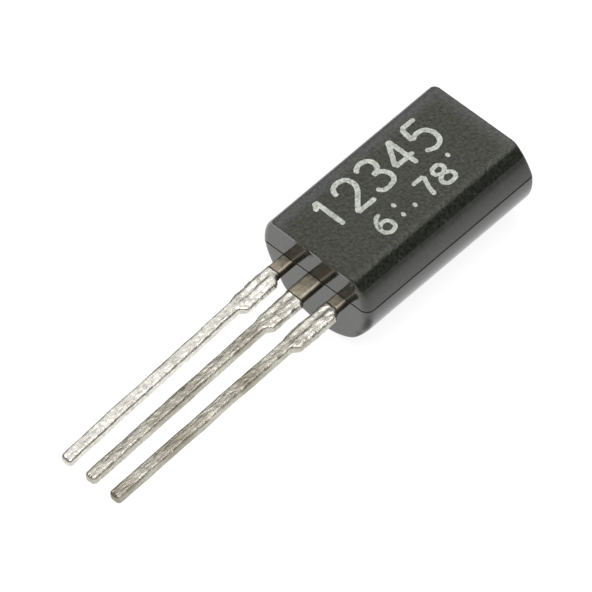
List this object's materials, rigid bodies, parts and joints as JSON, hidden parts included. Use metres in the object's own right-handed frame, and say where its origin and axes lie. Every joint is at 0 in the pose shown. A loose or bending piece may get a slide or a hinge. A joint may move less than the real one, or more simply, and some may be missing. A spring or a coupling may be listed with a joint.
{
  "type": "to-92 transistor",
  "caption": "Long-body TO-92 transistor: D-shaped moulded case on flat parallel leads, with the die and bond wires inside.",
  "frame": {"origin": "centre of the middle lead where it leaves the case", "axes": "+X across the flat face, towards the base lead; +Y along the case, from the leads to the top; +Z out of the flat face, so that the part lies on its round back"},
  "size_m": [0.005, 0.0189, 0.0039],
  "materials": {
    "epoxy": "fine matte on the flat face, smooth on the sides and ends",
    "marking_ink": "thin printed ink on the flat face, a little worn",
    "tinned_lead": "dipped solder, bright and uneven",
    "silicon": "polished",
    "die_solder": "satin",
    "gold": "bright drawn wire"
  },
  "bodies": {
    "root": {"epoxy_body": "epoxy", "emitter_lead": "tinned_lead", "collector_lead": "tinned_lead", "base_lead": "tinned_lead", "silicon_die": "silicon", "die_solder": "die_solder", "emitter_bond_wire": "gold", "base_bond_wire": "gold"}
  },
  "joints": []
}
